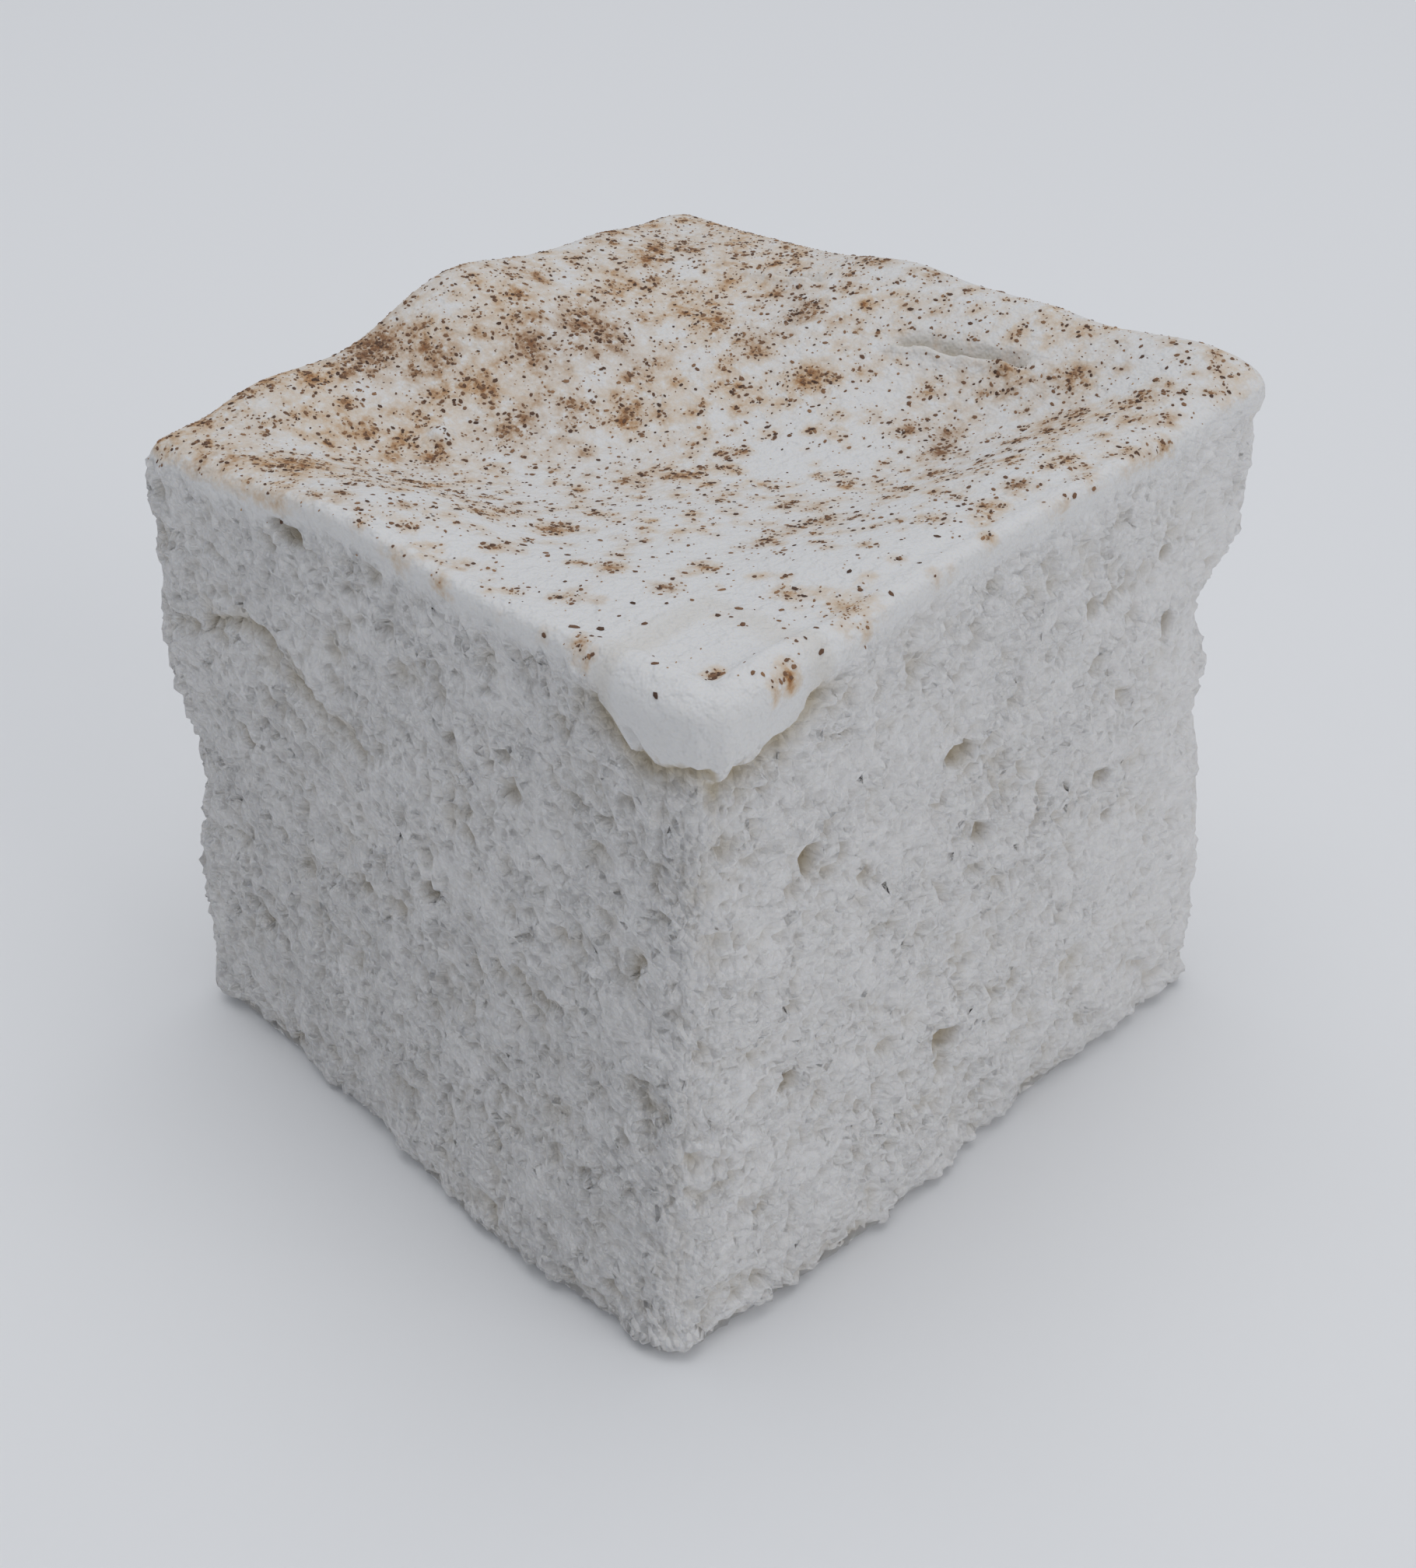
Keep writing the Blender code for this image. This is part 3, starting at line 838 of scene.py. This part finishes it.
# %% Lay the grains on the skin
FLECK_HALF_WIDTH = (0.06, 0.17)
DUST_HALF_WIDTH = (0.04, 0.08)
surface_tree = BVHTree.FromObject(marshmallow, bpy.context.evaluated_depsgraph_get())


def grain_shape():
    """Points and faces of one small ball, to be dented into grains."""
    bpy.ops.object.select_all(action="DESELECT")
    bpy.ops.mesh.primitive_ico_sphere_add(subdivisions=1, radius=1.0)
    ball = bpy.context.object
    corners = np.array([vertex.co for vertex in ball.data.vertices])
    faces = np.array([face.vertices[:] for face in ball.data.polygons])
    bpy.data.objects.remove(ball)
    return corners, faces


def lay_grains(name, places, half_width, flatness, seed):
    """One piece of many grains, flat on the skin; a place may give its grain's half width."""
    chance = np.random.default_rng(seed)
    corners, faces = grain_shape()
    all_corners, all_faces, shades = [], [], []
    for x, y, *given_size in places:
        above = Vector((x, y, block_high[2] + 5.0)) * MM
        spot, normal = surface_tree.ray_cast(above, Vector((0, 0, -1)))[:2]
        if spot is None or normal.z < 0.4 or below_rim(np.array([spot]) / MM)[0] > 1.5:
            continue
        size = half_width[0] + (half_width[1] - half_width[0]) * chance.random() ** 1.8
        size = given_size[0] if given_size else size
        stretch = np.array([chance.uniform(1.0, 1.5), chance.uniform(0.65, 1.0), flatness])
        dented = corners * chance.uniform(0.75, 1.15, (len(corners), 1)) * stretch * size
        turn = normal.to_track_quat("Z", "Y").to_matrix() @ Matrix.Rotation(
            chance.uniform(0.0, math.tau), 3, "Z")
        placed = dented @ np.array(turn).T + np.array(spot) / MM
        all_faces.append(faces + len(corners) * len(all_corners))
        all_corners.append(placed)
        shades.append(np.full(len(corners), chance.random()))
    mesh = bpy.data.meshes.new(name)
    mesh.from_pydata((np.concatenate(all_corners) * MM).tolist(), [],
                     np.concatenate(all_faces).tolist())
    piece = bpy.data.objects.new(name, mesh)
    bpy.context.scene.collection.objects.link(piece)
    store(piece, "shade", np.concatenate(shades))
    print(name, len(all_corners), "grains,", len(mesh.polygons), "faces")
    return piece


fleck_places = [fleck[:2] for fleck in flecks] + list(LARGE_FLECKS)
cinnamon_flecks = lay_grains("cinnamon_flecks", fleck_places, FLECK_HALF_WIDTH, 0.45, seed=21)
cinnamon_dust = lay_grains("cinnamon_dust", dust, DUST_HALF_WIDTH, 0.6, seed=22)

# %% [markdown]
# ## Finishes
#
# Whipped sugar foam is bright, matt and a little translucent, so light that enters it comes out
# softened nearby. Holes look warm, because light bounces between their pale walls; that warm shade
# is painted into the colour of the holes, the gap under the hem and the folds. The skin is closer
# and smoother than the crumb. One material serves both, mixed by the numbers kept on the block, so
# there is no hard border between skin and foam. The stain runs from orange to brown, broken up by a
# fine noise, because powder never colours evenly.

# %% Tools for wiring a material
COLOUR_A, COLOUR_B, COLOUR_OUT = 6, 7, 2


def new_material(name):
    """An empty material with a Principled shader, ready to wire."""
    material = bpy.data.materials.new(name)
    material.use_nodes = True
    return material.node_tree, material.node_tree.nodes["Principled BSDF"], material


def plug(tree, value, socket):
    """Wire another node's output into a socket, or set a plain value on it."""
    if isinstance(value, bpy.types.NodeSocket):
        tree.links.new(value, socket)
    else:
        socket.default_value = value


def kept(tree, name, output="Fac"):
    """Read what was kept on the piece under this name."""
    node = tree.nodes.new("ShaderNodeAttribute")
    node.attribute_name = name
    return node.outputs[output]


def maths(tree, operation, first, second=0.0, clamp=False):
    """One sum of two numbers."""
    node = tree.nodes.new("ShaderNodeMath")
    node.operation, node.use_clamp = operation, clamp
    plug(tree, first, node.inputs[0])
    plug(tree, second, node.inputs[1])
    return node.outputs[0]


def mixed(tree, share, low, high):
    """Blend two colours by a share from 0 to 1."""
    node = tree.nodes.new("ShaderNodeMix")
    node.data_type = "RGBA"
    plug(tree, share, node.inputs[0])
    plug(tree, low, node.inputs[COLOUR_A])
    plug(tree, high, node.inputs[COLOUR_B])
    return node.outputs[COLOUR_OUT]


def grainy(tree, place, scale, detail=2.0, roughness=0.5):
    """Soft noise from 0 to 1."""
    node = tree.nodes.new("ShaderNodeTexNoise")
    plug(tree, place, node.inputs["Vector"])
    plug(tree, scale, node.inputs["Scale"])
    plug(tree, detail, node.inputs["Detail"])
    plug(tree, roughness, node.inputs["Roughness"])
    return node.outputs["Fac"]


def ladder(tree, share, steps):
    """A run of colours, each from its place on."""
    node = tree.nodes.new("ShaderNodeValToRGB")
    plug(tree, share, node.inputs["Fac"])
    elements = node.color_ramp.elements
    while len(elements) < len(steps):
        elements.new(0.5)
    for element, (place, colour) in zip(elements, steps):
        element.position, element.color = place, (*colour, 1.0)
    return node.outputs["Color"]


# %% Foam and skin
FOAM_WHITE = (0.810, 0.795, 0.785, 1.0)
FOAM_SHADE = (0.775, 0.758, 0.745, 1.0)
SKIN_WHITE = (0.755, 0.745, 0.735, 1.0)
# painted shade, warm and dark, for the hollows, the gap under the hem and the folds
WARM_PAINTED_SHADE = (0.560, 0.485, 0.365, 1.0)
FLAKES_PER_MM = 1.9
METRES_TO_MM = 1.0 / MM

tree, shader, foam = new_material("whipped_foam_and_skin")
here = tree.nodes.new("ShaderNodeTexCoord").outputs["Object"]
skin_part, painted_shade_part, stain_part = (kept(tree, name) for name in ("skin", "painted_shade", "stain"))
cells = tree.nodes.new("ShaderNodeTexVoronoi")
cells.voronoi_dimensions = "2D"
cells.inputs["Scale"].default_value = FLAKES_PER_MM
plug(tree, kept(tree, "crumb", "Vector"), cells.inputs["Vector"])
flake_number = cells.outputs["Color"]           # a number's socket reads this as its brightness
white = mixed(tree, flake_number, FOAM_SHADE, FOAM_WHITE)
white = mixed(tree, skin_part, white, SKIN_WHITE)
# painted shade: the base colour goes warm and dark in the hollows, the hem gap and the folds
white = mixed(tree, painted_shade_part, white, WARM_PAINTED_SHADE)
roughness = maths(tree, "MULTIPLY_ADD", skin_part, -0.22)
roughness.node.inputs[2].default_value = 0.86
plug(tree, roughness, shader.inputs["Roughness"])
shader.inputs["Specular IOR Level"].default_value = 0.35
shader.inputs["Subsurface Weight"].default_value = 0.15
shader.inputs["Subsurface Radius"].default_value = (1.0, 0.85, 0.65)
shader.inputs["Subsurface Scale"].default_value = 0.5 * MM
print("foam and skin:", len(tree.nodes), "nodes")

# %% The stain in the skin
STAIN_ORANGE = ((0.0, SKIN_WHITE[:3]), (0.15, (0.715, 0.635, 0.55)),
                (0.35, (0.64, 0.50, 0.37)), (0.6, (0.53, 0.33, 0.18)), (1.0, (0.31, 0.13, 0.04)))
STAIN_BROWN = ((0.0, SKIN_WHITE[:3]), (0.15, (0.69, 0.64, 0.59)),
               (0.35, (0.59, 0.50, 0.42)), (0.6, (0.45, 0.33, 0.24)), (1.0, (0.23, 0.115, 0.06)))

powder = grainy(tree, here, 1.7 * METRES_TO_MM, 3.0, 0.65)
powder = maths(tree, "MULTIPLY", maths(tree, "SUBTRACT", powder, 0.27), 3.6)
powder = maths(tree, "MAXIMUM", powder, 0.15)
stain_grain = maths(tree, "MULTIPLY", stain_part, powder, clamp=True)
hue = maths(tree, "SUBTRACT", grainy(tree, here, 0.16 * METRES_TO_MM, 1.0), 0.4)
hue = maths(tree, "MULTIPLY", hue, 2.4, clamp=True)
tint = mixed(tree, hue, ladder(tree, stain_grain, STAIN_ORANGE),
             ladder(tree, stain_grain, STAIN_BROWN))
stained = maths(tree, "MULTIPLY", stain_grain, 12.0, clamp=True)
plug(tree, mixed(tree, stained, white, tint), shader.inputs["Base Color"])
print("with the stain:", len(tree.nodes), "nodes")

# %% The finest crumb and the skin's grain
flake_height = maths(tree, "MULTIPLY", cells.outputs["Distance"], 1.2)
flake_height = maths(tree, "SUBTRACT", flake_number, flake_height)
fine = maths(tree, "MULTIPLY", grainy(tree, here, 3.0 * METRES_TO_MM, 2.0, 0.6), 0.6)
crumb_height = maths(tree, "ADD", flake_height, fine)
crumb_height = maths(tree, "MULTIPLY", crumb_height, kept(tree, "rough"))
foam_part = maths(tree, "SUBTRACT", 1.0, skin_part, clamp=True)
skin_grain = maths(tree, "MULTIPLY", grainy(tree, here, 1.5 * METRES_TO_MM, 2.0, 0.6), 1.2)
height = maths(tree, "ADD", maths(tree, "MULTIPLY", crumb_height, foam_part),
               maths(tree, "MULTIPLY", skin_grain, skin_part))
surface_relief = tree.nodes.new("ShaderNodeBump")
surface_relief.inputs["Strength"].default_value = 0.7
surface_relief.inputs["Distance"].default_value = 0.33 * MM
plug(tree, height, surface_relief.inputs["Height"])
plug(tree, surface_relief.outputs["Normal"], shader.inputs["Normal"])
marshmallow.data.materials.clear()
marshmallow.data.materials.append(foam)
print("with the relief:", len(tree.nodes), "nodes")

# %% Ground cinnamon, coarse and fine
COARSE_SHADES = ((0.0, (0.075, 0.04, 0.026)), (0.5, (0.18, 0.095, 0.055)),
                 (1.0, (0.34, 0.19, 0.10)))
FINE_SHADES = ((0.0, (0.26, 0.14, 0.075)), (0.5, (0.38, 0.23, 0.13)), (1.0, (0.50, 0.34, 0.21)))


def cinnamon(name, piece, shades):
    """Dry ground bark, each grain in a shade of its own."""
    tree, shader, material = new_material(name)
    here = tree.nodes.new("ShaderNodeTexCoord").outputs["Object"]
    speckle = grainy(tree, here, 6.0 * METRES_TO_MM, 2.0)
    shade = maths(tree, "ADD", kept(tree, "shade"), maths(tree, "MULTIPLY", speckle, 0.3))
    shade = maths(tree, "SUBTRACT", shade, 0.15, clamp=True)
    plug(tree, ladder(tree, shade, shades), shader.inputs["Base Color"])
    shader.inputs["Roughness"].default_value = 0.75
    shader.inputs["Specular IOR Level"].default_value = 0.3
    piece.data.materials.append(material)


cinnamon("coarse_cinnamon", cinnamon_flecks, COARSE_SHADES)
cinnamon("fine_cinnamon", cinnamon_dust, FINE_SHADES)
print("materials:", [material.name for material in bpy.data.materials])

# %% [markdown]
# ## Floor and light
#
# Soft daylight from above and a little from the right: the top is brightest, the right side next
# and the left side in shade. A wide panel overhead does most of the work, a second one stands to
# the right, and the room itself gives a faint cool fill. The floor is plain and pale.

# %% Lay the floor
FLOOR_SIZE = 6.0
FLOOR_WHITE = (0.88, 0.88, 0.885, 1.0)

bpy.ops.object.select_all(action="DESELECT")
bpy.ops.mesh.primitive_plane_add(size=FLOOR_SIZE)
floor = bpy.context.object
floor.name = "floor"
tree, shader, floor_finish = new_material("pale_floor")
shader.inputs["Base Color"].default_value = FLOOR_WHITE
shader.inputs["Roughness"].default_value = 0.9
floor.data.materials.append(floor_finish)
print("floor", FLOOR_SIZE, "m wide")

# %% Light the room and hang the panels
ROOM_COLOUR = (0.80, 0.84, 0.90, 1.0)
ROOM_STRENGTH = 0.51
# name, place, size, power, colour
PANELS = (
    ("overhead", (-0.05, 0.05, 0.75), 0.7, 1.92, (0.99, 0.99, 1.0)),
    ("right", (0.75, 0.15, 0.35), 0.5, 0.85, (1.0, 0.99, 0.98)),
)

room = bpy.data.worlds.new("soft_room")
room.use_nodes = True
room.node_tree.nodes["Background"].inputs["Color"].default_value = ROOM_COLOUR
room.node_tree.nodes["Background"].inputs["Strength"].default_value = ROOM_STRENGTH
bpy.context.scene.world = room

for name, place, size, power, colour in PANELS:
    bpy.ops.object.light_add(type="AREA", location=place)
    panel = bpy.context.object
    panel.name = name
    panel.rotation_euler = (AIM_POINT - panel.location).to_track_quat("-Z", "Y").to_euler()
    panel.data.size, panel.data.energy, panel.data.color = size, power, colour
print(len(PANELS), "panels")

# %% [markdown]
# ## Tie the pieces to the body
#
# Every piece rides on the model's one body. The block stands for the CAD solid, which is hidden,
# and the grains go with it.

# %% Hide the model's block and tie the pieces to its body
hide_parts("marshmallow")
for piece in (marshmallow, cinnamon_flecks, cinnamon_dust):
    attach(piece, "root")
